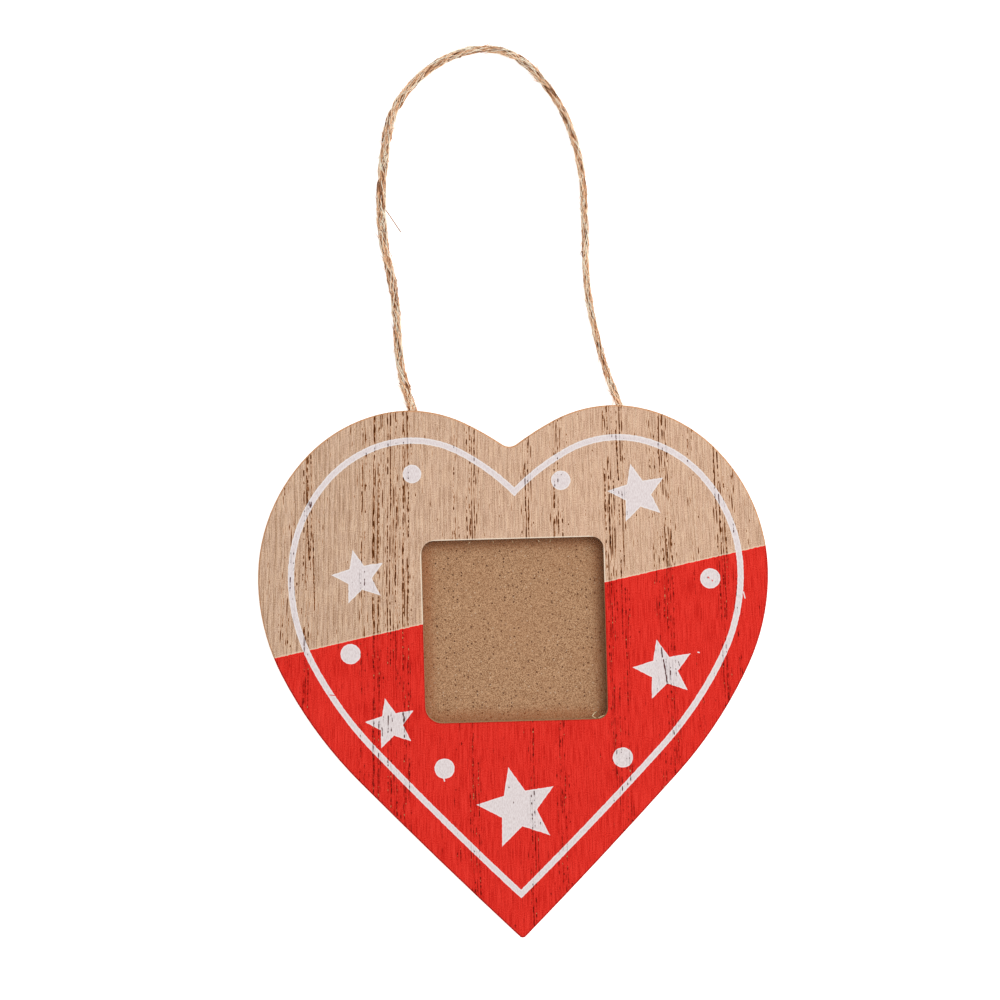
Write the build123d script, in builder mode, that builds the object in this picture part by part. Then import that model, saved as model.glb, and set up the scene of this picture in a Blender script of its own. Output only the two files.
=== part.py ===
from build123d import *

import os
from math import pi, radians, sqrt, tan

# A heart shaped wooden photo frame with a square window, lying on its back.
# X runs across the heart, Y from its tip towards the hanging loop, Z out of its face.
# The origin is on the surface below the middle of the board. Lengths are in millimetres.

# Heart board
heart_width = 130.0
heart_height = 135.0
board_thickness = 8.0
cleft_radius = 3.1
tip_radius = 1.1
edge_break = 0.4

# Window and the rebate behind it
window_size = 46.5
window_rise_share = 0.1615
window_corner_radii = {(-1, 1): 3.3, (1, 1): 3.0, (-1, -1): 4.3, (1, -1): 2.6}
lip_width = 5.0
rebate_corner_radius = 3.2

# Clear pane, room for a print, and backing board
pane_thickness = 0.8
pane_clearance = 0.25
print_room = 0.2
backing_thickness = 3.0
backing_clearance = 0.3

# Turn buttons
button_thickness = 0.9
button_head_radius = 4.2
button_tip_radius = 2.6
button_reach = 15.0
button_inset = 6.2
button_lift = 0.7
button_fold_run = 3.0
button_fold_radius = 2.0
button_bore_clearance = 0.1
running_gap = 0.05

# Wood screws that the buttons turn on
screw_head_radius = 2.7
screw_head_height = 2.0
screw_head_bevel = 1.0
screw_shank_radius = 1.2
screw_length = 7.0
screw_point_length = 1.8
screw_point_radius = 0.25
screw_fit = 0.02
cross_length = 2.8
cross_width = 0.6
cross_depth = 1.1

# Twine and the staples that hold its ends
twine_diameter = 2.2
twine_clearance = 0.05
staple_crown = 11.0
staple_leg = 7.5
staple_thickness = 0.7
staple_width = 0.8
staple_bend_radius = 0.9
staple_point = 0.25
staple_fit = 0.02
staple_place_share = 0.6

# Shares of the half width and half height, from the outline's round stretches
lobe_side_share = (1.0, 0.364)
lobe_shoulder_share = (0.7904, 0.8425)
lobe_top_share = (0.5147, 0.9877)
lobe_inner_share = (0.1758, 0.9485)
cleft_share = 0.8428
hip_share = (0.9161, 0.0118)
flank_share = (0.6232, -0.3964)
arc_share = 0.45
cut_overrun = 1.0

# What follows from the sizes above
window_rise = window_rise_share * heart_height / 2
rebate_size = window_size + 2 * lip_width
rebate_depth = pane_thickness + print_room + backing_thickness
screw_stack = screw_head_height + button_thickness + 2 * running_gap
twine_stack = staple_thickness + twine_diameter + 2 * twine_clearance
board_rise = max(screw_stack, twine_stack)
screw_hole_depth = screw_length - button_thickness - 2 * running_gap + screw_fit
tail_z = board_rise - twine_clearance - twine_diameter / 2
floor_z = twine_diameter / 2
rim_z = (tail_z + floor_z) / 2
pivot_reach = rebate_size / 2 + button_inset
pivot_height = {"top": window_rise + pivot_reach, "bottom": window_rise - pivot_reach}
towards_window = {"top": Vector(0, -1, 0), "bottom": Vector(0, 1, 0)}

# The twine's route, from its left end behind the board, round the loop, to its right end
twine_route = [
    (-17.8, 48.0, tail_z),
    (-20.8, 57.5, tail_z),
    (-24.6, 66.9, rim_z),
    (-28.0, 79.8, floor_z),
    (-28.2, 97.7, floor_z),
    (-31.8, 113.8, floor_z),
    (-30.9, 131.6, floor_z),
    (-27.7, 147.9, floor_z),
    (-13.0, 160.3, floor_z),
    (3.3, 161.2, floor_z),
    (15.4, 147.4, floor_z),
    (20.7, 131.6, floor_z),
    (21.2, 114.4, floor_z),
    (20.9, 97.5, floor_z),
    (24.7, 78.7, floor_z),
    (28.9, 67.5, rim_z),
    (32.2, 58.0, tail_z),
    (35.2, 48.5, tail_z),
]


def corner_radii(route):
    """Each arc takes the same share of the shorter run beside its corner."""
    radii = []
    for before, corner, after in zip(route, route[1:], route[2:]):
        run_in = Vector(corner) - Vector(before)
        run_out = Vector(after) - Vector(corner)
        half_turn = radians(run_in.get_angle(run_out)) / 2
        radii.append(arc_share * min(run_in.length, run_out.length) / tan(half_turn))
    return radii


def outline_point(shares):
    """A point of the heart's right half, from its shares of the half width and half height."""
    return (shares[0] * heart_width / 2, shares[1] * heart_height / 2)


def pivot_plane(end, height):
    """Lies at a height on one screw's axis, faces backwards, and has its X towards the window."""
    origin = (0, pivot_height[end], height)
    return Plane(origin=origin, x_dir=towards_window[end], z_dir=(0, 0, -1))


def staple_plane(end, following):
    """Stands across the twine near one of its ends, with its own X across and its Y up."""
    place = Vector(end) + (Vector(following) - Vector(end)) * staple_place_share
    along = (Vector(following) - Vector(end)).normalized()
    across = Vector(-along.Y, along.X, 0)
    return Plane(origin=(place.X, place.Y, board_rise), x_dir=across, z_dir=along)


staple_planes = [
    staple_plane(twine_route[0], twine_route[1]),
    staple_plane(twine_route[-1], twine_route[-2]),
]
staple_leg_x = staple_crown / 2 - staple_thickness / 2
staple_crown_y = staple_thickness / 2 - twine_stack
staple_leg_top = staple_leg - twine_stack

os.makedirs("parts", exist_ok=True)

# Front board: the wooden heart with its window, rebate, screw holes and staple holes
tip_corner = -heart_height / 2 - tip_radius * (sqrt(2) - 1)
with BuildPart() as front_board:
    with BuildSketch(Plane.XY.offset(board_rise)) as heart:
        with BuildLine():
            side = outline_point(lobe_side_share)
            hip = outline_point(hip_share)
            flank = outline_point(flank_share)
            shoulder = outline_point(lobe_shoulder_share)
            lobe_top = outline_point(lobe_top_share)
            lobe_inner = outline_point(lobe_inner_share)
            cleft = (0, cleft_share * heart_height / 2)
            hip_arc = TangentArc(side, hip, tangent=(0, -1))
            flank_arc = TangentArc(hip, flank, tangent=hip_arc % 1)
            TangentArc(flank, (0, tip_corner), tangent=flank_arc % 1)
            shoulder_arc = TangentArc(side, shoulder, tangent=(0, 1))
            top_arc = TangentArc(shoulder, lobe_top, tangent=shoulder_arc % 1)
            inner_arc = TangentArc(lobe_top, lobe_inner, tangent=top_arc % 1)
            TangentArc(lobe_inner, cleft, tangent=inner_arc % 1)
            Line(cleft, (0, tip_corner))
        make_face()
        mirror(about=Plane.YZ)
        middle = heart.vertices().group_by(lambda corner: round(abs(corner.X), 3))[0]
        fillet(middle.sort_by(Axis.Y)[-1], cleft_radius)
        middle = heart.vertices().group_by(lambda corner: round(abs(corner.X), 3))[0]
        fillet(middle.sort_by(Axis.Y)[0], tip_radius)
    extrude(amount=board_thickness)
    front_rim = front_board.faces().sort_by(Axis.Z)[-1].outer_wire().edges()
    back_rim = front_board.faces().sort_by(Axis.Z)[0].outer_wire().edges()
    chamfer(front_rim + back_rim, edge_break)
    with BuildSketch(Plane.XY.offset(board_rise)):
        with Locations((0, window_rise)):
            RectangleRounded(rebate_size, rebate_size, rebate_corner_radius)
    extrude(amount=rebate_depth, mode=Mode.SUBTRACT)
    with BuildSketch(Plane.XY.offset(board_rise)) as window:
        with Locations((0, window_rise)):
            Rectangle(window_size, window_size)
        for (right, up), radius in window_corner_radii.items():
            beyond = (right * window_size, window_rise + up * window_size, board_rise)
            fillet(window.vertices().sort_by_distance(beyond)[0], radius)
    extrude(amount=board_thickness + cut_overrun, mode=Mode.SUBTRACT)
    with Locations(*[pivot_plane(end, board_rise) for end in pivot_height]):
        Hole(screw_shank_radius + screw_fit, depth=screw_hole_depth)
    for plane in staple_planes:
        with BuildSketch(plane):
            with Locations((-staple_leg_x, staple_leg_top / 2), (staple_leg_x, staple_leg_top / 2)):
                Rectangle(staple_thickness + 2 * staple_fit, staple_leg_top + staple_fit)
        extrude(amount=staple_width / 2 + staple_fit, both=True, mode=Mode.SUBTRACT)
front_board.part.label = "front_board"
export_step(front_board.part, "parts/front_board.step")

# Clear pane, against the lip of the window
with BuildPart() as clear_pane:
    pane_size = rebate_size - 2 * pane_clearance
    with BuildSketch(Plane.XY.offset(board_rise + rebate_depth - pane_thickness)):
        with Locations((0, window_rise)):
            RectangleRounded(pane_size, pane_size, rebate_corner_radius - pane_clearance)
    extrude(amount=pane_thickness)
clear_pane.part.label = "clear_pane"
export_step(clear_pane.part, "parts/clear_pane.step")

# Backing board, flush with the back of the heart
with BuildPart() as backing_board:
    backing_size = rebate_size - 2 * backing_clearance
    with BuildSketch(Plane.XY.offset(board_rise)):
        with Locations((0, window_rise)):
            RectangleRounded(backing_size, backing_size, rebate_corner_radius - backing_clearance)
    extrude(amount=backing_thickness)
backing_board.part.label = "backing_board"
export_step(backing_board.part, "parts/backing_board.step")

# Turn buttons: pressed steel strips that swing over the backing board, with a lifted tip
button_z = board_rise - running_gap - button_thickness / 2
tip_x = button_reach - button_tip_radius
fold_x = tip_x - button_fold_run
for end in pivot_height:
    with BuildPart() as turn_button:
        plan = pivot_plane(end, button_z)
        profile = Plane(origin=plan.origin, x_dir=plan.x_dir, z_dir=plan.x_dir.cross(plan.z_dir))
        with BuildSketch(profile):
            with BuildLine():
                strip = FilletPolyline(
                    (-button_head_radius - cut_overrun, 0),
                    (fold_x, 0),
                    (tip_x, button_lift),
                    (button_reach + cut_overrun, button_lift),
                    radius=button_fold_radius,
                )
            trace(strip, line_width=button_thickness)
        extrude(amount=button_head_radius + cut_overrun, both=True)
        with BuildSketch(plan):
            Circle(button_head_radius)
            with Locations((tip_x, 0)):
                Circle(button_tip_radius)
            make_hull()
        extrude(amount=button_thickness + button_lift, both=True, mode=Mode.INTERSECT)
        with Locations(plan):
            Hole(screw_shank_radius + button_bore_clearance)
    turn_button.part.label = f"turn_button_{end}"
    export_step(turn_button.part, f"parts/turn_button_{end}.step")

# Screws: bevelled heads with a cross recess, their shanks through the buttons into the board
head_z = board_rise - screw_stack
with BuildPart() as button_screws:
    for end in pivot_height:
        foot = Plane(origin=(0, pivot_height[end], head_z), x_dir=(1, 0, 0), z_dir=(0, -1, 0))
        with BuildSketch(foot):
            with BuildLine():
                point_start = screw_head_height + screw_length - screw_point_length
                Polyline(
                    (0, 0),
                    (screw_head_radius - screw_head_bevel, 0),
                    (screw_head_radius, screw_head_bevel),
                    (screw_head_radius, screw_head_height),
                    (screw_shank_radius, screw_head_height),
                    (screw_shank_radius, point_start),
                    (screw_point_radius, screw_head_height + screw_length),
                    (0, screw_head_height + screw_length),
                    (0, 0),
                )
            make_face()
        revolve(axis=Axis(foot.origin, (0, 0, 1)))
        with BuildSketch(Plane(origin=foot.origin, z_dir=(0, 0, 1))):
            for turn in (0, 90):
                Rectangle(cross_length, cross_width, rotation=turn)
        extrude(amount=cross_depth, mode=Mode.SUBTRACT)
button_screws.part.label = "button_screws"
export_step(button_screws.part, "parts/button_screws.step")

# Staples: flat wire bent over the twine, with chisel points in the board
with BuildPart() as twine_staples:
    for plane in staple_planes:
        with BuildSketch(plane):
            with BuildLine():
                wire = FilletPolyline(
                    (-staple_leg_x, staple_leg_top),
                    (-staple_leg_x, staple_crown_y),
                    (staple_leg_x, staple_crown_y),
                    (staple_leg_x, staple_leg_top),
                    radius=staple_bend_radius,
                )
            trace(wire, line_width=staple_thickness)
        extrude(amount=staple_width / 2, both=True)
    tips = twine_staples.faces().filter_by(Axis.Z).group_by(Axis.Z)[-1].edges()
    chamfer(tips.group_by(lambda edge: round(edge.length, 3))[-1], staple_point)
twine_staples.part.label = "twine_staples"
export_step(twine_staples.part, "parts/twine_staples.step")

# Twine: one length, stapled behind both lobes, that lies on the surface in a loop
with BuildPart() as twine:
    with BuildLine():
        centreline = FilletPolyline(*twine_route, radius=corner_radii(twine_route))
    with BuildSketch(Plane(origin=centreline @ 0, z_dir=centreline % 0)):
        Circle(twine_diameter / 2)
    sweep()
twine.part.label = "twine"
export_step(twine.part, "parts/twine.step")

section = pi * twine_diameter**2 / 4
print("twine length", round(centreline.length, 1))
print("twine volume over section times length", round(twine.part.volume / section / centreline.length, 4))
print("twine radii", [round(radius) for radius in corner_radii(twine_route)])
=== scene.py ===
import math
import random
from collections import namedtuple
from functools import reduce

import bpy
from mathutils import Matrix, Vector


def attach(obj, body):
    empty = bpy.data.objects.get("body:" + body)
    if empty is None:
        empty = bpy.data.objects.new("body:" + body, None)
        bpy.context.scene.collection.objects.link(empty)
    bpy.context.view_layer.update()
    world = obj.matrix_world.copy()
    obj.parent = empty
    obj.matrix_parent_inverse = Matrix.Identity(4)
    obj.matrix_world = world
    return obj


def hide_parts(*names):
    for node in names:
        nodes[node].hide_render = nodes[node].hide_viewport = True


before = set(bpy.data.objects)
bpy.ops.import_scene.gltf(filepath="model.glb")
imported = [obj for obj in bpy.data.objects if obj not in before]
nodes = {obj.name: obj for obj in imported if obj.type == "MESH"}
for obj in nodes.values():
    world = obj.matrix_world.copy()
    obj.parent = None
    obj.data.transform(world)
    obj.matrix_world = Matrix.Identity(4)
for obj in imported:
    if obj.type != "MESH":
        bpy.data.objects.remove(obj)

scene = bpy.context.scene
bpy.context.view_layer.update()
mm = 0.001
chance = random.Random(7)

# The height of the board's face above the floor, in millimetres
board_top = 11
face_height = board_top * mm


# Camera: straight above the face, with the heart a little turned in the picture

picture_pixels = 1000
camera_place = Vector((-2.79 * mm, 44.09 * mm, 661 * mm))
camera_turn = math.radians(-1.5657)

camera_data = bpy.data.cameras.new("camera")
camera_data.lens = 91.9
camera_data.sensor_width = 36
camera = bpy.data.objects.new("camera", camera_data)
camera.location = camera_place
camera.rotation_euler = (0, 0, camera_turn)
scene.collection.objects.link(camera)
scene.camera = camera


def at_pixel(across, down, height):
    """The point at this height, in metres, that the photograph shows at this pixel."""
    pixel_angle = camera_data.sensor_width / camera_data.lens / picture_pixels
    reach = (camera_place.z - height) * pixel_angle
    middle = picture_pixels / 2
    offset = Vector(((across - middle) * reach, (middle - down) * reach, 0))
    offset.rotate(camera.rotation_euler)
    return Vector((camera_place.x, camera_place.y, height)) + offset


# Materials: formulas on nodes, and a material with a place in millimetres

metres_to_mm = 1000
# A Mix node has sockets for numbers, vectors and colours: these are the ones for colours
mix_colour_inputs = slice(6, 8)
mix_colour_output = 2


def feed(tree, value, socket):
    """Links a formula or a node's output to a socket, or sets the socket to a number or colour."""
    if isinstance(value, Formula):
        tree.links.new(value.output, socket)
    elif isinstance(value, bpy.types.NodeSocket):
        tree.links.new(value, socket)
    else:
        socket.default_value = value


class Formula:
    """One number of a material, so that arithmetic on nodes reads as arithmetic."""

    def __init__(self, tree, output):
        self.tree = tree
        self.output = output

    def math(self, operation, *others):
        node = self.tree.nodes.new("ShaderNodeMath")
        node.operation = operation
        for value, socket in zip((self, *others), node.inputs):
            feed(self.tree, value, socket)
        return Formula(self.tree, node.outputs[0])

    def smooth(self, none_at, all_at):
        """Runs softly from 0 at the first number to 1 at the second, which may be the lower one."""
        node = self.tree.nodes.new("ShaderNodeMapRange")
        node.interpolation_type = "SMOOTHSTEP"
        for value, socket in zip((self, none_at, all_at), node.inputs):
            feed(self.tree, value, socket)
        return Formula(self.tree, node.outputs[0])

    def above(self, limit):
        """1 above the limit and 0 below it."""
        return self.math("GREATER_THAN", limit)

    def __add__(self, other):
        return self.math("ADD", other)

    def __sub__(self, other):
        return self.math("SUBTRACT", other)

    def __rsub__(self, other):
        return self * -1 + other

    def __mul__(self, other):
        return self.math("MULTIPLY", other)

    def __truediv__(self, other):
        return self.math("DIVIDE", other)

    def __abs__(self):
        return self.math("ABSOLUTE")

    __radd__ = __add__
    __rmul__ = __mul__


def length(x, y):
    return (x * x + y * y).math("SQRT")


def largest(formulas):
    return reduce(lambda most, formula: most.math("MAXIMUM", formula), formulas)


def smallest(formulas):
    return reduce(lambda least, formula: least.math("MINIMUM", formula), formulas)


def pick(choice, chosen, other):
    """chosen where choice is 1, and other where it is 0."""
    return other + (chosen - other) * choice


def turned(x, y, degrees):
    """The place x, y turned about the origin."""
    cos, sin = math.cos(math.radians(degrees)), math.sin(math.radians(degrees))
    return x * cos - y * sin, x * sin + y * cos


class Look:
    """A material whose nodes start from the object's own place, in millimetres."""

    def __init__(self, name):
        self.material = bpy.data.materials.new(name)
        self.material.use_nodes = True
        self.tree = self.material.node_tree
        self.shader = self.tree.nodes["Principled BSDF"]
        place = self.tree.nodes.new("ShaderNodeSeparateXYZ")
        source = self.tree.nodes.new("ShaderNodeTexCoord")
        self.tree.links.new(source.outputs["Object"], place.inputs[0])
        parts = (Formula(self.tree, output) for output in place.outputs)
        self.x, self.y, self.z = (part * metres_to_mm for part in parts)

    def vector(self, x, y, z):
        node = self.tree.nodes.new("ShaderNodeCombineXYZ")
        for value, socket in zip((x, y, z), node.inputs):
            feed(self.tree, value, socket)
        return node.outputs[0]

    def noise(self, x, y, z=0, detail=2, roughness=0.5):
        """Fractal noise from 0 to 1, with one lump for each unit of x, y and z."""
        node = self.tree.nodes.new("ShaderNodeTexNoise")
        feed(self.tree, self.vector(x, y, z), node.inputs["Vector"])
        node.inputs["Scale"].default_value = 1
        node.inputs["Detail"].default_value = detail
        node.inputs["Roughness"].default_value = roughness
        return Formula(self.tree, node.outputs["Fac"])

    def cells(self, x, y):
        """The distance to the nearest of many scattered points, and a random number for it."""
        node = self.tree.nodes.new("ShaderNodeTexVoronoi")
        node.voronoi_dimensions = "2D"
        feed(self.tree, self.vector(x, y, 0), node.inputs["Vector"])
        node.inputs["Scale"].default_value = 1
        split = self.tree.nodes.new("ShaderNodeSeparateColor")
        self.tree.links.new(node.outputs["Color"], split.inputs[0])
        number = Formula(self.tree, split.outputs[0])
        return Formula(self.tree, node.outputs["Distance"]), number

    def number(self, value):
        """A random number from 0 to 1 for each whole value."""
        node = self.tree.nodes.new("ShaderNodeTexWhiteNoise")
        node.noise_dimensions = "1D"
        feed(self.tree, value, node.inputs["W"])
        return Formula(self.tree, node.outputs["Value"])

    def mix(self, share, first, second):
        """The first colour where share is 0, and the second where it is 1."""
        node = self.tree.nodes.new("ShaderNodeMix")
        node.data_type = "RGBA"
        feed(self.tree, share, node.inputs[0])
        for value, socket in zip((first, second), node.inputs[mix_colour_inputs]):
            feed(self.tree, (*value, 1) if isinstance(value, tuple) else value, socket)
        return node.outputs[mix_colour_output]

    def layers(self, colour, *layers):
        """The colour with layers over it, from the lowest one up: each one's share and colour."""
        for share, over in layers:
            colour = self.mix(share, colour, over)
        return colour

    def up(self):
        """How far the surface faces up, from -1 to 1."""
        split = self.tree.nodes.new("ShaderNodeSeparateXYZ")
        geometry = self.tree.nodes.new("ShaderNodeNewGeometry")
        self.tree.links.new(geometry.outputs["Normal"], split.inputs[0])
        return Formula(self.tree, split.outputs[2])

    def attribute(self, name):
        node = self.tree.nodes.new("ShaderNodeAttribute")
        node.attribute_name = name
        return Formula(self.tree, node.outputs["Fac"])

    def finish(self, colour, roughness, height=None, shine=0.5, metal=0.0):
        """Feeds the shader. The height is in millimetres, and shine is plain gloss, from 0 to 1."""
        feed(self.tree, colour, self.shader.inputs["Base Color"])
        feed(self.tree, roughness, self.shader.inputs["Roughness"])
        self.shader.inputs["Specular IOR Level"].default_value = shine
        self.shader.inputs["Metallic"].default_value = metal
        if height is not None:
            bump = self.tree.nodes.new("ShaderNodeBump")
            bump.inputs["Distance"].default_value = mm
            feed(self.tree, height, bump.inputs["Height"])
            self.tree.links.new(bump.outputs[0], self.shader.inputs["Normal"])
        return self.material


def dress(piece, material):
    piece.data.materials.clear()
    piece.data.materials.append(material)


# The board's printed pattern, in millimetres on the face and degrees

line_width = 1.55
line_side = (57.25, 24.60)
line_up = [(47.16, 50.14), (33.05, 58.63), (13.61, 56.34), (0, 46.09)]
line_down = [(52.21, 3.35), (36.40, -19.39), (0, -56.34)]
line_shift = 0.44
line_turn = -0.59

star_turn = 12
star_waist_share = 0.45
# Each star's and each dot's centre and radius
stars = [
    ((32.24, 44.83), 7.73),
    ((-39.18, 25.39), 7.12),
    ((37.73, -0.27), 7.94),
    ((-32.06, -12.19), 6.69),
    ((-0.32, -34.43), 10.58),
]
dots = [
    ((-25.02, 51.32), 2.34),
    ((12.82, 48.68), 2.45),
    ((50.18, 22.69), 2.55),
    ((-41.90, 5.89), 2.55),
    ((-18.77, -23.89), 2.55),
    ((26.71, -22.30), 2.55),
]
# The red's slanting edge: its height at the middle, and how far it rises for each millimetre
red_height = 17.7
red_slope = 0.2015

Arc = namedtuple("Arc", "centre radius end")


def tangent_arcs(start, points):
    """The arcs from start through the points, each tangent to the last, and the first upright."""
    here, heading, arcs = Vector(start), Vector((0, 1)), []
    for point in points:
        chord = Vector(point) - here
        normal = Vector((-heading.y, heading.x))
        bend = chord.length_squared / (2 * normal.dot(chord))
        centre = here + normal * bend
        arcs.append(Arc(centre, abs(bend), Vector(point)))
        here = Vector(point)
        heading = Vector((centre.y - here.y, here.x - centre.x)) / bend
    return arcs


def line_distance(x, y):
    """How far a place is from the middle of the white heart line."""
    x, y = turned(x - line_shift, y, -line_turn)
    x = abs(x)

    def from_arc(arc):
        return abs(length(x - arc.centre.x, y - arc.centre.y) - arc.radius)

    def from_chain(arcs, place, axis):
        """The distance from the arcs, of which each but the last reaches down to its end."""
        distance = from_arc(arcs[-1])
        for arc in reversed(arcs[:-1]):
            distance = pick(place.above(arc.end[axis]), from_arc(arc), distance)
        return distance

    side = from_chain(tangent_arcs(line_side, line_down), y, axis=1)
    shoulder, *crown = tangent_arcs(line_side, line_up)
    upper = y.above(line_side[1])
    distance = pick(upper, from_arc(shoulder), side)
    in_crown = x.math("LESS_THAN", shoulder.end.x) * upper
    return pick(in_crown, from_chain(crown, x, axis=0), distance)


def star_distance(x, y, centre, radius):
    """How far a place is outside a five-pointed star's edge. Inside it is negative."""
    x, y = x - centre[0], y - centre[1]
    fifth = math.radians(72)
    lean = math.radians(90 + star_turn)
    two_turns = 4 * math.pi  # keep the angle above 0
    angle = y.math("ARCTAN2", x) + (two_turns + fifth / 2 - lean)
    angle = abs(angle.math("MODULO", fifth) - fifth / 2)
    reach = length(x, y)
    tip = Vector((radius, 0))
    waist = Vector((math.cos(fifth / 2), math.sin(fifth / 2))) * radius * star_waist_share
    out = Vector((waist.y, tip.x - waist.x)).normalized()
    along, aside = reach * angle.math("COSINE"), reach * angle.math("SINE")
    return (along - radius) * out.x + aside * out.y


def print_distance(x, y):
    """How far a place is outside the white print."""
    line = line_distance(x, y) - line_width / 2
    in_stars = [star_distance(x, y, centre, radius) for centre, radius in stars]
    in_dots = [length(x - centre[0], y - centre[1]) - radius for centre, radius in dots]
    return smallest([line, *in_stars, *in_dots])


# The window, in millimetres

window_half = 23.25
window_middle = 10.9
window_corner = 4.0


def window_distance(x, y):
    """How far a place is outside the window's edge."""
    straight_half = window_half - window_corner
    beside = (abs(x) - straight_half).math("MAXIMUM", 0)
    beyond = (abs(y - window_middle) - straight_half).math("MAXIMUM", 0)
    return length(beside, beyond) - window_corner


# The board: open-pored wood, its face painted red below the slanting line and printed white

# Heights in millimetres that mark off the face, the face with its rounded arris, and the sawn
# walls of the window above its rebate
face_from = 10.4
arris_from = 10.0
sawn_from = 6.5

# The grain: its slope at the middle and how it changes across the board, how far it sways,
# and how far it leans for each millimetre down into the wood
grain_slope = 0.0095
grain_fan = -0.0006
grain_sway = 1.6
grain_lean = 0.8

# Bands of pores, in millimetres across the grain: middle, half width and strength
pore_bands = [
    (-58.5, 2.4, 0.45),
    (-53.4, 1.4, 0.85),
    (-39.0, 1.1, 0.65),
    (-35.5, 1.5, 0.90),
    (-31.5, 1.8, 0.85),
    (-28.0, 1.3, 0.90),
    (-15.0, 1.0, 0.50),
    (-10.5, 1.7, 0.85),
    (4.0, 1.4, 0.90),
    (11.5, 1.6, 0.80),
    (25.4, 1.5, 0.85),
    (28.6, 1.1, 0.80),
    (36.9, 1.0, 0.60),
    (39.8, 1.6, 0.85),
    (47.0, 1.0, 0.40),
    (53.8, 1.6, 0.90),
    (57.0, 1.0, 0.55),
]
# How far a track strays from its row, in rows
track_stray = 0.45
# A pore opens where a track's noise passes a limit, which is lower in a crowded place
pore_limit = 0.74
pore_crowding = 0.29
pore_steepness = 9
# Pores come in chains of this many dashes
chain_dashes = 8
chain_strength = 0.7
# Taken off the depth of a stroke, in millimetres, so that it shows on the face alone
off_the_face = 5

# Strokes that the photograph shows, as pixels: start, end and half width in millimetres
long_pores = [
    ((306.5, 476), (308.0, 505), 0.09),
    ((307.0, 516), (309.5, 560), 0.13),
    ((313.0, 534), (314.5, 610), 0.10),
    ((309.5, 502), (310.5, 507), 0.17),
    ((661.5, 648), (662.5, 657), 0.19),
    ((663.5, 660), (667.5, 684), 0.18),
    ((678.5, 662), (681.0, 670), 0.12),
    ((403.0, 712), (404.0, 725), 0.18),
    ((382.0, 728), (382.5, 736), 0.16),
    ((373.5, 722), (374.0, 728), 0.13),
    ((392.0, 718), (392.5, 721), 0.15),
    ((615.5, 430), (618.5, 480), 0.12),
    ((608.5, 500), (611.5, 560), 0.10),
    ((621.0, 560), (623.0, 640), 0.10),
]
# The same for specks of white outside the print, and for scratches in it
white_marks = [
    ((698, 652.2), (699.2, 652.5), 0.15),
    ((743.5, 592), (745.0, 598), 0.14),
    ((443.5, 777), (444.5, 781), 0.16),
]
red_marks = [
    ((330, 695), (335, 695.5), 0.10),
    ((708, 577), (709, 578), 0.14),
    ((712, 580), (712.5, 581), 0.12),
]

warm_wood = (0.745, 0.484, 0.348)
grey_wood = (0.625, 0.430, 0.318)
flow_brown = (0.43, 0.265, 0.170)
fine_brown = (0.43, 0.265, 0.190)
thread_brown = (0.36, 0.200, 0.115)
band_brown = (0.42, 0.185, 0.075)
line_brown = (0.31, 0.175, 0.105)
hair_brown = (0.40, 0.225, 0.135)
hair_tan = (0.83, 0.57, 0.38)
fleck_brown = (0.38, 0.210, 0.125)
fleck_tan = (0.84, 0.58, 0.39)
# Painted highlight: the pale colour of the ring just outside each pore
painted_pore_highlight = (0.97, 0.76, 0.57)
pore_stain = (0.40, 0.140, 0.036)
pore_brown = (0.150, 0.040, 0.006)
pore_floor = (0.028, 0.007, 0.002)
rim_brown = (0.56, 0.255, 0.105)
coat_border = (0.93, 0.75, 0.56)
worn_arris = (0.98, 0.84, 0.68)
sawn_wood = (0.50, 0.31, 0.16)

paint_red = (0.785, 0.031, 0.020)
streak_red = (0.715, 0.026, 0.016)
fleck_dark_red = (0.46, 0.003, 0.002)
fleck_light_red = (0.93, 0.065, 0.045)
hair_dark_red = (0.42, 0.002, 0.001)
hair_light_red = (0.90, 0.055, 0.038)
line_red = (0.38, 0.006, 0.003)
edge_red = (0.950, 0.010, 0.008)
arris_red = (0.38, 0.006, 0.004)
stain_red = (0.36, 0.0, 0.0)
filled_pore = (0.070, 0.006, 0.003)
worn_pore = (0.62, 0.44, 0.20)

print_white = (0.830, 0.752, 0.748)
mottle_white = (0.720, 0.630, 0.625)
fleck_white = (0.58, 0.49, 0.48)
print_pore = (0.120, 0.035, 0.034)
edge_white = (0.93, 0.90, 0.89)


def from_stroke(x, y, start, end):
    """How far a place on the face is, in millimetres, from the line between two pixels."""
    first, last = (at_pixel(*pixel, face_height) / mm for pixel in (start, end))
    run = last - first
    x, y = x - first.x, y - first.y
    share = (x * run.x + y * run.y) / run.length_squared
    share = share.math("MAXIMUM", 0).math("MINIMUM", 1)
    return length(x - share * run.x, y - share * run.y)


def nearest_stroke(x, y, strokes):
    """How far a place is inside the nearest of the strokes, in millimetres."""
    return largest(
        half_width - from_stroke(x, y, start, end) for start, end, half_width in strokes
    )


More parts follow.
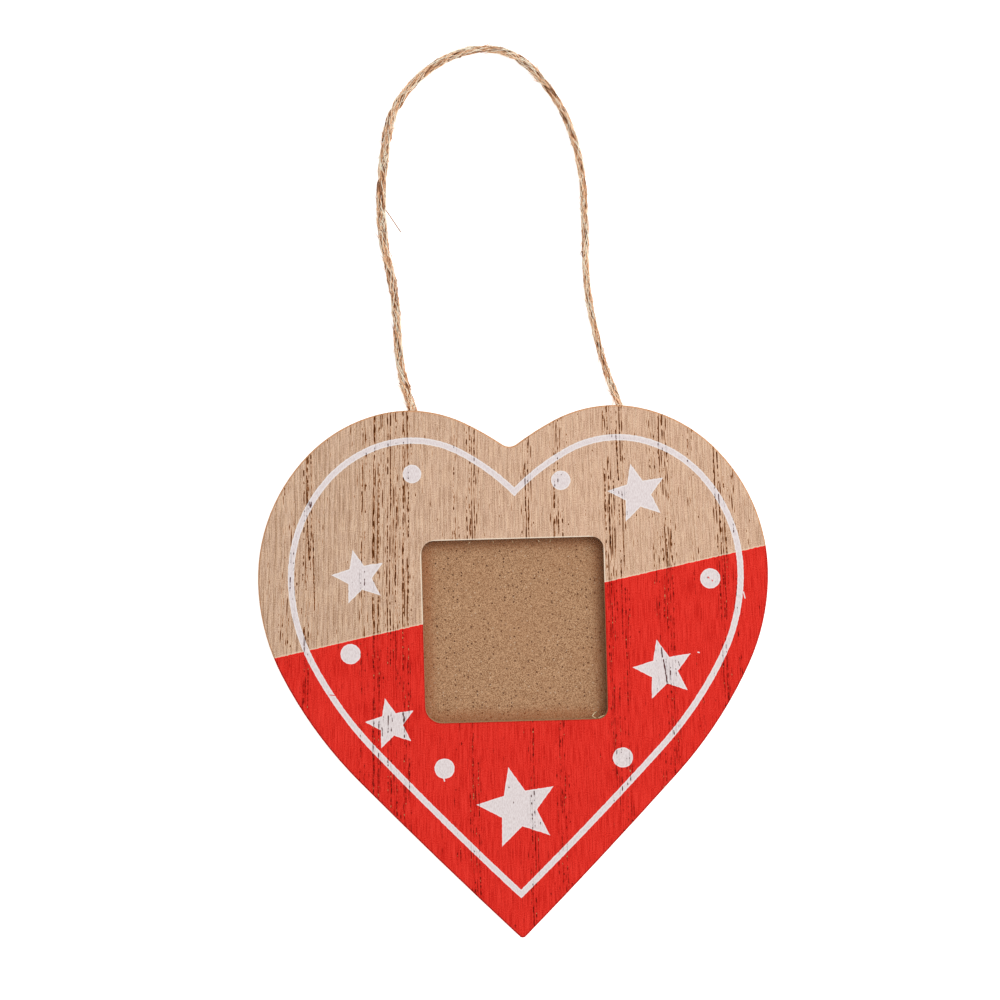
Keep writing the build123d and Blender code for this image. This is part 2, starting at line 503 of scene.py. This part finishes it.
class Grain:
    """The board's grain: its pores, and the fine marks between them."""

    def __init__(self, look, face):
        self.look = look
        x, y, z = look.x, look.y, look.z
        sway = look.noise(x / 22, y / 35, z / 35) - 0.5
        slope = x * grain_fan + grain_slope
        across = x - slope * y + sway * grain_sway + (z - board_top) * grain_lean
        self.across = across

        self.band = largest(
            (abs(across - middle) / half_width).smooth(1.5, 0.4) * strength
            for middle, half_width, strength in pore_bands
        )
        patch = look.noise(across / 4, y / 15, detail=3)
        crowd = self.band * patch.smooth(0.28, 0.50)
        wide = self.pores(crowd, spacing=1.1, dash=1.3, widest=0.135, seed=0.4)
        slim = self.pores(crowd, spacing=0.65, dash=3.4, widest=0.10, seed=40.7)
        broken = look.noise(x * 1.5, y * 0.9, detail=3, roughness=0.6) - 0.5
        own = nearest_stroke(x, y, long_pores) + (broken * 0.6 - 0.02)
        self.wide = wide.math("MAXIMUM", own - (1 - face) * off_the_face)
        self.gap = self.wide.math("MAXIMUM", slim)
        self.stain = self.gap.smooth(-0.16, -0.01)
        self.pore = self.gap.smooth(-0.05, 0.03)
        self.deep = self.gap.smooth(0.03, 0.13)
        # Painted highlight: a pale ring just outside each pore, where its edge would catch the
        # light
        self.pore_highlight = self.gap.smooth(-0.28, -0.17) * (1 - self.stain)

        # Fine lines, threads, hairs and flecks between the pores, and the wood's slow changes
        self.grey = x.smooth(15, -55)
        track, aside = self.tracks(1.3, 90.2)
        shown = look.noise(track * 5.1, y / 20).smooth(0.32, 0.52)
        self.line = aside.smooth(0.30, 0.10) * shown * (self.grey * 0.65 + 0.35)
        track, aside = self.tracks(0.75, 17.6)
        shown = look.noise(track * 3.3, y / 9).smooth(0.42, 0.60)
        self.thread = aside.smooth(0.20, 0.06) * shown
        self.fine = look.noise(across * 1.6, y / 50)
        self.hair = look.noise(across * 5.2, y / 6, z * 4, detail=1)
        self.fleck = look.noise(x * 5.0, y * 3.6, z * 5.0, detail=1)
        self.flow = look.noise(across / 9, y / 60)

    def tracks(self, spacing, seed):
        """Parallel tracks along the grain: each one's number, and how far its middle is in mm."""
        place = self.across / spacing + seed
        track = place.math("FLOOR")
        wander = self.look.noise(track * 7.3, self.look.y / 7, detail=4, roughness=0.6) - 0.5
        shift = (self.look.number(track) - 0.5) * track_stray
        aside = place.math("FRACT") - 0.5 - shift + wander * track_stray
        return track, abs(aside) * spacing

    def pores(self, crowd, spacing, dash, widest, seed):
        """How far a place is inside a pore, in millimetres, with more pores where crowd is high."""
        track, aside = self.tracks(spacing, seed)
        y = self.look.y
        chain = self.look.noise(track * 5.9 + seed, y / (dash * chain_dashes)) - 0.5
        run = self.look.noise(track * 3.7 + seed, y / dash) + chain * chain_strength
        opening = (run - (pore_limit - crowd * pore_crowding)) * pore_steepness
        return opening.math("MINIMUM", 1.0) * widest - aside


def bare_wood(grain, face, coat_edge, arris):
    look = grain.look
    x, y, z = look.x, look.y, look.z
    rim = z.smooth(10.2, 10.7) * (1 - face)
    sawn = window_distance(x, y).smooth(1.0, 0.5) * (1 - face) * z.above(sawn_from)
    return look.layers(
        look.mix(grain.grey, warm_wood, grey_wood),
        (grain.flow.smooth(0.35, 0.7) * 0.12, flow_brown),
        (grain.fine.smooth(0.44, 0.62) * 0.08, fine_brown),
        (grain.thread * 0.5, thread_brown),
        (grain.thread * grain.band * 0.8, band_brown),
        (grain.line * 0.95, line_brown),
        (grain.hair.smooth(0.51, 0.60) * 0.6, hair_brown),
        (grain.hair.smooth(0.49, 0.40) * 0.55, hair_tan),
        (grain.fleck.smooth(0.52, 0.61) * 0.5, fleck_brown),
        (grain.fleck.smooth(0.48, 0.39) * 0.5, fleck_tan),
        # painted highlight beside the pores
        (grain.pore_highlight * 0.35, painted_pore_highlight),
        (grain.stain * 0.85, pore_stain),
        (grain.pore, pore_brown),
        (grain.deep, pore_floor),
        (rim * 0.6, rim_brown),
        (coat_edge.smooth(0.45, 0.15) * face * 0.5, coat_border),
        (arris * 0.75, worn_arris),
        (sawn * 0.8, sawn_wood),
    )


def red_paint(grain, face, coat_edge, arris):
    look = grain.look
    streak = look.noise(grain.across * 1.5, look.y / 20, detail=3, roughness=0.65)
    worn = look.noise(grain.across * 1.3, look.y / 0.9)
    filled = grain.gap.smooth(-0.02, 0.06)
    return look.layers(
        look.mix(streak.smooth(0.40, 0.66), paint_red, streak_red),
        (grain.fleck.smooth(0.52, 0.62) * 0.5, fleck_dark_red),
        (grain.fleck.smooth(0.48, 0.38) * 0.5, fleck_light_red),
        (grain.hair.smooth(0.52, 0.62) * 0.4, hair_dark_red),
        (grain.hair.smooth(0.48, 0.38) * 0.4, hair_light_red),
        (grain.line * 0.1, line_red),
        (coat_edge.smooth(-0.40, -0.12) * 0.6, edge_red),
        ((arris * 0.5).math("MAXIMUM", (1 - face) * 0.6), arris_red),
        (grain.stain * 0.35, stain_red),
        (filled * worn.smooth(0.42, 0.58) * 0.85, filled_pore),
        (filled * worn.smooth(0.40, 0.30), worn_pore),
    )


def white_print(grain, outside):
    look = grain.look
    mottle = look.noise(grain.across * 4.2, look.y * 1.2, detail=1)
    return look.layers(
        look.mix(mottle.smooth(0.36, 0.66), print_white, mottle_white),
        (grain.fleck.smooth(0.50, 0.66) * 0.25, fleck_white),
        (grain.wide.smooth(-0.05, 0.05), print_pore),
        (outside.smooth(-0.40, -0.12) * 0.5, edge_white),
    )


def board_look():
    look = Look("open_pored_wood")
    x, y, z = look.x, look.y, look.z
    up = look.up()
    face = up.smooth(0.80, 0.97) * z.above(face_from)
    face_and_arris = up.smooth(0.05, 0.35) * z.above(arris_from)
    grain = Grain(look, face)
    arris = window_distance(x, y).smooth(0.38, 0.12) * face

    ragged = look.noise(x * 1.4, y * 1.1, detail=3) - 0.5
    square_to_edge = math.cos(math.atan(red_slope))
    coat_edge = (y - x * red_slope - red_height) * square_to_edge + ragged * 0.5
    coated = coat_edge.smooth(0.06, -0.06) * face_and_arris

    stray_white = nearest_stroke(x, y, white_marks)
    missing_white = nearest_stroke(x, y, red_marks)
    outside = (print_distance(x, y) + ragged * 0.32).math("MINIMUM", stray_white * -1)
    printed = outside.smooth(0.05, -0.05) * missing_white.smooth(0.05, -0.05) * face

    colour = look.layers(
        bare_wood(grain, face, coat_edge, arris),
        (coated, red_paint(grain, face, coat_edge, arris)),
        (printed, white_print(grain, outside)),
    )
    relief = grain.fine * -0.04 - grain.hair * 0.03 - grain.fleck * 0.02
    relief = relief - grain.pore * 0.05 - grain.deep * 0.10
    roughness = 0.66 - coated * 0.12 + grain.pore * 0.2
    return look.finish(colour, roughness, height=relief, shine=0.02)


dress(nodes["front_board"], board_look())


# The fine fibreboard behind the window

board_dark = (0.235, 0.098, 0.040)
board_pale = (0.740, 0.445, 0.258)
cloud_brown = (0.470, 0.230, 0.116)
chip_pale = (0.780, 0.580, 0.420)
speck_dark = (0.095, 0.030, 0.014)
# Painted shade: a dark red-brown for the fibreboard next to the window's walls
edge_shade_brown = (0.400, 0.130, 0.048)


def fibreboard_look():
    look = Look("fine_fibreboard")
    x, y, z = look.x, look.y, look.z
    grain = look.noise(x * 4.4, y * 4.4, z * 4.4, detail=3, roughness=0.7)
    cloud = look.noise(x / 9, y / 9, z / 9, detail=3)
    distance, number = look.cells(x / 1.1, y / 1.1)
    speck = distance.smooth(0.26, 0.12) * number.smooth(0.74, 0.95)
    chip = distance.smooth(0.22, 0.08) * number.smooth(0.12, 0.05)
    window_side = look.up().smooth(0.2, 0.8)
    # Painted shade: the fibreboard darkens and warms towards the window's walls, within a few
    # millimetres, where the walls shade it and throw warm light onto it
    painted_edge_shade = (window_distance(x, y) + cloud * 1.5).smooth(-3.2, 0.6) * window_side
    colour = look.layers(
        look.mix(grain.smooth(0.35, 0.65), board_dark, board_pale),
        (cloud.smooth(0.3, 0.7) * 0.2, cloud_brown),
        (chip * 0.6, chip_pale),
        (speck * 0.9, speck_dark),
        (painted_edge_shade * 0.5, edge_shade_brown),
    )
    relief = grain * 0.10 - speck * 0.05
    return look.finish(colour, 0.85 - grain * 0.1, height=relief, shine=0.04)


dress(nodes["backing_board"], fibreboard_look())


# The thin clear pane, with a few faint smears


def pane_look():
    look = Look("clear_sheet")
    smear = look.noise(look.x / 12, look.y / 5, detail=4)
    through = look.tree.nodes.new("ShaderNodeBsdfTransparent")
    through.inputs["Color"].default_value = (0.995, 0.998, 0.996, 1)
    gloss = look.tree.nodes.new("ShaderNodeBsdfGlossy")
    gloss.inputs["Color"].default_value = (0.15, 0.15, 0.15, 1)
    feed(look.tree, smear * 0.10 + 0.02, gloss.inputs["Roughness"])
    fresnel = look.tree.nodes.new("ShaderNodeFresnel")
    fresnel.inputs["IOR"].default_value = 1.4
    inner = look.tree.nodes.new("ShaderNodeNewGeometry").outputs["Backfacing"]
    shine = Formula(look.tree, fresnel.outputs[0]) * (1 - Formula(look.tree, inner))
    blend = look.tree.nodes.new("ShaderNodeMixShader")
    for source, socket in zip((shine, through.outputs[0], gloss.outputs[0]), blend.inputs):
        feed(look.tree, source, socket)
    surface = look.tree.nodes["Material Output"].inputs["Surface"]
    look.tree.links.new(blend.outputs[0], surface)
    look.tree.nodes.remove(look.shader)
    return look.material


dress(nodes["clear_pane"], pane_look())


# Zinc plated steel: pressed buttons, screws and staples

dull_share = 0.72
grime_brown = (0.21, 0.17, 0.12)


def steel_look(name, colour, roughness, wear):
    look = Look(name)
    x, y, z = look.x, look.y, look.z
    spangle = look.noise(x * 0.9, y * 0.9, z * 0.9)
    scratch = look.noise(x * 9 + y * 2, y * 0.8 - x * 0.2, z, detail=3)
    grime = look.noise(x / 1.5, y / 1.5, z / 1.5, detail=4)
    shade = look.layers(
        colour,
        (spangle.smooth(0.3, 0.7) * 0.5, tuple(part * dull_share for part in colour)),
        (grime.smooth(0.56, 0.78) * wear, grime_brown),
    )
    rough = spangle * 0.16 + (scratch * 0.12 + roughness)
    return look.finish(shade, rough, height=scratch * 0.012 + grime * 0.02, metal=1.0)


button_steel = steel_look("pressed_zinc_steel", (0.68, 0.67, 0.64), 0.26, 0.5)
dress(nodes["turn_button_top"], button_steel)
dress(nodes["turn_button_bottom"], button_steel)
screw_steel = steel_look("bright_zinc_screw", (0.72, 0.70, 0.62), 0.18, 0.7)
dress(nodes["button_screws"], screw_steel)
staple_steel = steel_look("flat_galvanised_wire", (0.66, 0.66, 0.67), 0.28, 0.4)
dress(nodes["twine_staples"], staple_steel)


# The twine's route, as in the CAD, from the left tail behind the board to the right one

twine_diameter = 2.2 * mm
tail_z = 1.85 * mm
rim_z = 1.475 * mm
floor_z = 1.1 * mm
route = [
    (-17.8 * mm, 48.0 * mm, tail_z),
    (-20.8 * mm, 57.5 * mm, tail_z),
    (-24.6 * mm, 66.9 * mm, rim_z),
    (-28.0 * mm, 79.8 * mm, floor_z),
    (-28.2 * mm, 97.7 * mm, floor_z),
    (-31.8 * mm, 113.8 * mm, floor_z),
    (-30.9 * mm, 131.6 * mm, floor_z),
    (-27.7 * mm, 147.9 * mm, floor_z),
    (-13.0 * mm, 160.3 * mm, floor_z),
    (3.3 * mm, 161.2 * mm, floor_z),
    (15.4 * mm, 147.4 * mm, floor_z),
    (20.7 * mm, 131.6 * mm, floor_z),
    (21.2 * mm, 114.4 * mm, floor_z),
    (20.9 * mm, 97.5 * mm, floor_z),
    (24.7 * mm, 78.7 * mm, floor_z),
    (28.9 * mm, 67.5 * mm, rim_z),
    (32.2 * mm, 58.0 * mm, tail_z),
    (35.2 * mm, 48.5 * mm, tail_z),
]
steps_per_span = 18


def points_along(controls, steps):
    """Points read from the smooth line that these control points give, some for each span."""
    curve = bpy.data.curves.new("twine_route", "CURVE")
    curve.dimensions = "3D"
    curve.resolution_u = steps
    spline = curve.splines.new("NURBS")
    spline.points.add(len(controls) - 1)
    for point, place in zip(spline.points, controls):
        point.co = (*place, 1)
    spline.order_u = 3
    spline.use_endpoint_u = True
    holder = bpy.data.objects.new("twine_route", curve)
    scene.collection.objects.link(holder)
    bpy.context.view_layer.update()
    line = bpy.data.meshes.new_from_object(holder)
    points = [vertex.co.copy() for vertex in line.vertices]
    bpy.data.objects.remove(holder)
    return points


class Line:
    """The twine's middle line, with directions and the distance run at each of its points."""

    def __init__(self, points):
        self.points = points
        self.run = [0.0]
        for last, point in zip(points, points[1:]):
            self.run.append(self.run[-1] + (point - last).length)
        self.along, self.side, self.over = [], [], []
        for index in range(len(points)):
            before = points[max(index - 1, 0)]
            after = points[min(index + 1, len(points) - 1)]
            along = (after - before).normalized()
            side = along.cross(Vector((0, 0, 1))).normalized()
            self.along.append(along)
            self.side.append(side)
            self.over.append(side.cross(along))

    def place(self, index, sideways, upward):
        return self.points[index] + self.side[index] * sideways + self.over[index] * upward


class Hair:
    """Many thin tubes in one mesh, with a tone for each of their points."""

    # No fibre runs along this direction, so the rings of every tube are laid out from it
    reference = Vector((0.3, 0.2, 1))

    def __init__(self):
        self.vertices, self.faces, self.tones = [], [], []

    def add(self, points, radii, tones, sides=4):
        """A tube along the points."""
        start = len(self.vertices)
        for index, (point, radius, tone) in enumerate(zip(points, radii, tones)):
            ahead = points[min(index + 1, len(points) - 1)] - points[max(index - 1, 0)]
            first = ahead.cross(self.reference).normalized()
            second = ahead.cross(first).normalized()
            for corner in range(sides):
                angle = math.tau * corner / sides
                ring = first * math.cos(angle) + second * math.sin(angle)
                self.vertices.append(point + ring * radius)
                self.tones.append(tone)
        for index in range(len(points) - 1):
            for corner in range(sides):
                here = start + index * sides + corner
                beside = start + index * sides + (corner + 1) % sides
                self.faces.append((here, beside, beside + sides, here + sides))
        last = start + (len(points) - 1) * sides
        self.faces.append(tuple(range(start + sides - 1, start - 1, -1)))
        self.faces.append(tuple(range(last, last + sides)))

    def piece(self, name, material):
        mesh = bpy.data.meshes.new(name)
        mesh.from_pydata(self.vertices, [], self.faces)
        mesh.shade_smooth()
        tones = mesh.attributes.new("tone", "FLOAT", "POINT")
        tones.data.foreach_set("value", self.tones)
        mesh.materials.append(material)
        piece = bpy.data.objects.new(name, mesh)
        scene.collection.objects.link(piece)
        return piece


jute_shadow = (0.170, 0.060, 0.023)
jute_brown = (0.66, 0.335, 0.175)
jute_tan = (1.00, 0.650, 0.400)
jute_pale = (1.00, 0.90, 0.72)
jute_streak = (0.42, 0.20, 0.09)


def jute_look():
    look = Look("dry_jute")
    tone = look.attribute("tone")
    streak = look.noise(look.x * 3, look.y * 0.8, look.z * 3, detail=3)
    colour = look.layers(
        jute_shadow,
        (tone.smooth(0, 0.3), jute_brown),
        (tone.smooth(0.25, 0.65), jute_tan),
        (tone.smooth(0.75, 1.0), jute_pale),
        (streak.smooth(0.55, 0.8) * 0.4, jute_streak),
    )
    return look.finish(colour, 0.7 + streak * 0.2, height=streak * 0.06, shine=0.25)


# The twine: two plies of jute laid round each other along the route

# Shares of the twine's diameter, from its left end to its right end
width_shares = [1.00, 1.00, 0.94, 1.04, 1.12, 0.92, 0.86, 0.86, 0.80, 0.76, 0.74, 0.76, 0.78]
width_change = 0.10
# The length in which the plies turn once, and how far they are ahead or behind, in radians
ply_pitch = 19 * mm
pitch_change = 0.8

# A ply's place and size, as shares of the twine's radius
ply_offset = 0.54
ply_half_depth = 0.42
ply_half_breadth = 0.76
core_radius = 0.42 * mm
core_tone = 0.30
core_reach = 0.02

fibres_in_ply = 24
fibre_radius = (0.05, 0.12)
fibre_reach = (0.84, 1.08)
# The mean and spread of the fibres' tones, and their limits
fibre_tone = (0.64, 0.32)
darkest_tone = 0.08
palest_tone = 1.1
# How many points a fibre may fall short of the twine's end
ragged_end = 6
# A fibre's turns in its ply for one turn of the plies, and how far it wanders, in radians
fibre_lay = 0.55
fibre_wander = 1.1
reach_change = 0.18
tone_change = 0.25
# Painted shade: a fibre is darker deep in the twine, between the plies, and gets paler with its
# distance from the twine's middle, in radii, from this one on
shade_depth = 0.38
shade_slope = 3.2
darkest_shade = 0.42

# Pale fibres that bind the plies: their number, their distance from the twine's middle at the
# ends and halfway, in radii, their turn at each point in radians, their points and their radius
binders = 210
binder_off = (0.78, 1.05)
binder_slant = (0.08, 0.40)
fewest_steps = 4
most_steps = 12
binder_radius = (0.05, 0.10)
binder_margin = 4

# Fibres that stand off: their number, root in radii, reach in millimetres, how far they go
# forward for each millimetre of reach, and tone
strays = 420
stray_root = 0.8
stray_reach = (0.3, 1.5)
stray_forward = (1.0, 3.0)
stray_tone = (0.1, 0.8)
stray_margin = 10
lowest_stray = 0.06 * mm

# Fibres that the photograph shows: pixels, heights, radius in millimetres, and tone
loose_fibres = [
    ([(380, 203), (387.4, 212.2), (394, 222), (401, 232.3)], (1.4, 1.3, 1.0, 0.7), 0.14, 0.15),
    ([(403.5, 388), (401, 385), (398.8, 382.8)], (1.6, 1.7, 1.6), 0.10, 0.15),
    ([(585.5, 263), (583.2, 257), (581.7, 251)], (1.4, 1.5, 1.6), 0.17, 0.05),
]
# The frayed spot by the left lobe, in pixels: its root, the point that each fibre's middle lies
# halfway from, and where the tips lie. Then heights and radius in millimetres, tone and number
fray_root = (410.5, 404)
fray_start = (412, 405)
fray_across = (414, 421)
fray_down = (401, 411)
fray_heights = (1.5, 1.6, 1.2)
fray_radius = 0.04
fray_tone = 0.9
fray_fibres = 14


def wave(run, waves):
    """A slow irregular wander between about -1 and 1."""
    return sum(math.sin(run * rate + phase) for rate, phase in waves) / len(waves)


def wander(*wavelengths):
    return [(math.tau / span, chance.uniform(0, math.tau)) for span in wavelengths]


def between(values, share):
    """The value at a share of the way along a list of values."""
    place = share * (len(values) - 1)
    first = min(int(place), len(values) - 2)
    return values[first] + (values[first + 1] - values[first]) * (place - first)


class Twine:
    """Two plies of fibres laid round each other along a line, and the fibres that stand off."""

    def __init__(self, line):
        self.line = line
        self.hair = Hair()
        self.last = len(line.points) - 1
        twist = wander(31 * mm, 17 * mm, 9 * mm)
        width = wander(23 * mm, 8 * mm, 4.7 * mm)
        self.turns, self.radii = [], []
        for run in line.run:
            share = between(width_shares, run / line.run[-1])
            share = share * (1 + width_change * wave(run, width))
            self.radii.append(twine_diameter / 2 * share)
            self.turns.append(math.tau * run / ply_pitch + pitch_change * wave(run, twist))

    def fibre(self, ply, angle, reach_share, radius, tone, first, last):
        """One fibre of a ply, from one of the line's points to another, with painted shade where it
        is deep.
        """
        drift = wander(14 * mm, 6 * mm, 3.1 * mm)
        points, radii, tones = [], [], []
        for index in range(first, last + 1):
            run, thick = self.line.run[index], self.radii[index]
            turn = self.turns[index] + ply * math.pi
            own = angle - fibre_lay * self.turns[index] + fibre_wander * wave(run, drift) - turn
            reach = thick * reach_share * (1 + reach_change * wave(run + mm, drift))
            outward = thick * ply_offset + reach * ply_half_depth * math.cos(own)
            sidelong = reach * ply_half_breadth * math.sin(own)
            sideways = outward * math.cos(turn) - sidelong * math.sin(turn)
            upward = outward * math.sin(turn) + sidelong * math.cos(turn)
            points.append(self.line.place(index, sideways, upward))
            points[-1].z = max(points[-1].z, radius)
            radii.append(radius)
            depth = math.hypot(outward, sidelong) / thick
            streak = tone + tone_change * wave(run * 3, drift)
            # painted shade between the plies: the deeper a fibre lies, the darker its tone
            shade = min(1, max(darkest_shade, (depth - shade_depth) * shade_slope))
            tones.append(streak * shade)
        self.hair.add(points, radii, tones)

    def binder(self, index, angle, slant, steps, radius):
        """A pale fibre that slants over both plies and dives between them at its ends."""
        at_ends, halfway = binder_off
        points, radii = [], []
        for step in range(steps + 1):
            here = index + step
            turn = angle + slant * step
            rise = math.sin(math.pi * step / steps)
            off = self.radii[here] * (at_ends + (halfway - at_ends) * rise)
            points.append(self.line.place(here, off * math.cos(turn), off * math.sin(turn)))
            points[-1].z = max(points[-1].z, radius)
            radii.append(radius)
        self.hair.add(points, radii, [1.0] * len(points))

    def stray(self, index, angle, forward, reach, tone):
        """A short fine fibre that stands off the twine and bends away from it."""
        steps = 6
        points, radii = [], []
        for step in range(steps + 1):
            share = step / steps
            off = self.radii[index] * stray_root + reach * share * (0.35 + 0.65 * share)
            root = self.line.place(index, off * math.cos(angle), off * math.sin(angle))
            points.append(root + self.line.along[index] * forward * reach * share)
            radii.append((0.09 - 0.05 * share) * mm)
        if min(point.z for point in points) > lowest_stray:
            self.hair.add(points, radii, [tone] * len(points), sides=3)


def loose_fibre(hair, pixels, heights, radius, tone):
    """A fibre that the photograph shows by itself, through these pixels."""
    points = [at_pixel(*pixel, height * mm) for pixel, height in zip(pixels, heights)]
    hair.add(points, [radius * mm] * len(points), [tone] * len(points))


def lay_twine(line):
    """The twine's own fibres, all in one mesh."""
    twine = Twine(line)
    for ply in (0, 1):
        twine.fibre(ply, 0, core_reach, core_radius, core_tone, 0, twine.last)
        for number in range(fibres_in_ply):
            angle = math.tau * number / fibres_in_ply
            radius = chance.uniform(*fibre_radius) * mm
            tone = min(palest_tone, max(darkest_tone, chance.gauss(*fibre_tone)))
            first = chance.randint(0, ragged_end)
            last = twine.last - chance.randint(0, ragged_end)
            reach_share = chance.uniform(*fibre_reach)
            twine.fibre(ply, angle, reach_share, radius, tone, first, last)
    for _ in range(binders):
        index = chance.randint(binder_margin, twine.last - most_steps - binder_margin)
        steps = chance.randint(fewest_steps, most_steps)
        slant = chance.choice((-1, 1)) * chance.uniform(*binder_slant)
        angle = chance.uniform(0.1, math.pi - 0.1) - slant * steps / 2
        twine.binder(index, angle, slant, steps, chance.uniform(*binder_radius) * mm)
    for _ in range(strays):
        index = chance.randint(stray_margin, twine.last - stray_margin)
        angle = chance.uniform(0, math.tau)
        forward = chance.choice((-1, 1)) * chance.uniform(*stray_forward)
        reach = chance.uniform(*stray_reach) * mm
        twine.stray(index, angle, forward, reach, chance.uniform(*stray_tone))
    return twine.hair


def lay_loose_fibres():
    """The fibres that stand far off the twine."""
    loose = Hair()
    for pixels, heights, radius, tone in loose_fibres:
        loose_fibre(loose, pixels, heights, radius, tone)
    for _ in range(fray_fibres):
        tip = (chance.uniform(*fray_across), chance.uniform(*fray_down))
        bow = chance.uniform(-1, 1)
        middle = ((fray_start[0] + tip[0]) / 2 + bow, (fray_start[1] + tip[1]) / 2)
        loose_fibre(loose, [fray_root, middle, tip], fray_heights, fray_radius, fray_tone)
    return loose


def make_twine():
    line = Line(points_along(route, steps_per_span))
    twine, loose = lay_twine(line), lay_loose_fibres()
    jute = jute_look()
    piece, extra = twine.piece("jute_twine", jute), loose.piece("loose_fibres", jute)
    for part in (piece, extra):
        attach(part, "board")
    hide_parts("twine")


make_twine()


# Torn wood at the window's edge: a curl in its lower right corner, and short fibres above

# Pixels, heights and radius in millimetres
curl_fibres = [
    (
        [(596.5, 711.5), (594.0, 713.5), (592.4, 715.6), (594.6, 717.6), (597.0, 718.5)],
        (9.4, 10.3, 10.8, 10.6, 10.2),
        0.17,
    ),
    ([(597.0, 718.5), (600.5, 717.0), (604.5, 715.0)], (10.5, 10.7, 10.6), 0.12),
]
# The short fibres' pixel across, and how far each one's tip hangs down, in millimetres
edge_fibres = [(470, 0.2), (493, 0.3), (512, 0.2), (538, 0.3), (551, 0.2)]
edge_fibre_radius = 0.07
# The window's upper edge in the photograph, in pixels
edge_down = 541.6
edge_across = 500
edge_slope = 0.027

torn_brown = (0.44, 0.27, 0.12)
torn_pale = (0.86, 0.68, 0.46)


def torn_look():
    look = Look("torn_wood")
    fibre = look.noise(look.x * 4, look.y * 4, look.z * 4, detail=3)
    colour = look.mix(fibre.smooth(0.35, 0.6), torn_brown, torn_pale)
    return look.finish(colour, 0.75 + fibre * 0.1, height=fibre * 0.05, shine=0.05)


def make_torn_fibres():
    torn = Hair()
    for pixels, heights, radius in curl_fibres:
        loose_fibre(torn, pixels, heights, radius, 0)
    for across, drop in edge_fibres:
        edge = edge_down - (across - edge_across) * edge_slope
        bend = chance.uniform(-1.2, 1.2)
        root, middle = (across, edge - 0.6), (across + bend, edge + 0.8)
        tip = (across + bend * 2, edge + 2.0)
        heights = (10.9, 10.8, 10.6 - drop)
        loose_fibre(torn, [root, middle, tip], heights, edge_fibre_radius, 0)
    piece = torn.piece("torn_fibres", torn_look())
    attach(piece, "board")


make_torn_fibres()


# Floor and light

floor_half = 1.5
floor_glow = 0.65
lamp_place = (0.47, 0.40, 1.15)
lamp_size = 0.80
lamp_power = 9.6
sky_strength = 0.53


def floor_look():
    look = Look("pale_floor")
    cloud = look.noise(look.x / 90, look.y / 90)
    colour = look.mix(cloud, (0.88, 0.88, 0.88), (0.92, 0.92, 0.92))
    look.shader.inputs["Emission Color"].default_value = (1, 1, 1, 1)
    look.shader.inputs["Emission Strength"].default_value = floor_glow
    return look.finish(colour, 0.9 - cloud * 0.05, shine=0.0)


corners = [(-1, -1), (1, -1), (1, 1), (-1, 1)]
floor_mesh = bpy.data.meshes.new("floor")
floor_points = [(x * floor_half, y * floor_half, 0) for x, y in corners]
floor_mesh.from_pydata(floor_points, [], [(0, 1, 2, 3)])
floor_mesh.materials.append(floor_look())
floor = bpy.data.objects.new("floor", floor_mesh)
scene.collection.objects.link(floor)

# A square soft light that faces the heart
lamp = bpy.data.lights.new("main_softbox", "AREA")
lamp.size = lamp_size
lamp.energy = lamp_power
lamp_holder = bpy.data.objects.new("main_softbox", lamp)
lamp_holder.location = lamp_place
lamp_holder.rotation_euler = Vector(lamp_place).to_track_quat("Z", "Y").to_euler()
scene.collection.objects.link(lamp_holder)

world = bpy.data.worlds.new("studio")
world.use_nodes = True
sky = world.node_tree.nodes["Background"]
sky.inputs["Color"].default_value = (1, 1, 1, 1)
sky.inputs["Strength"].default_value = sky_strength
scene.world = world
scene.view_settings.view_transform = "Standard"
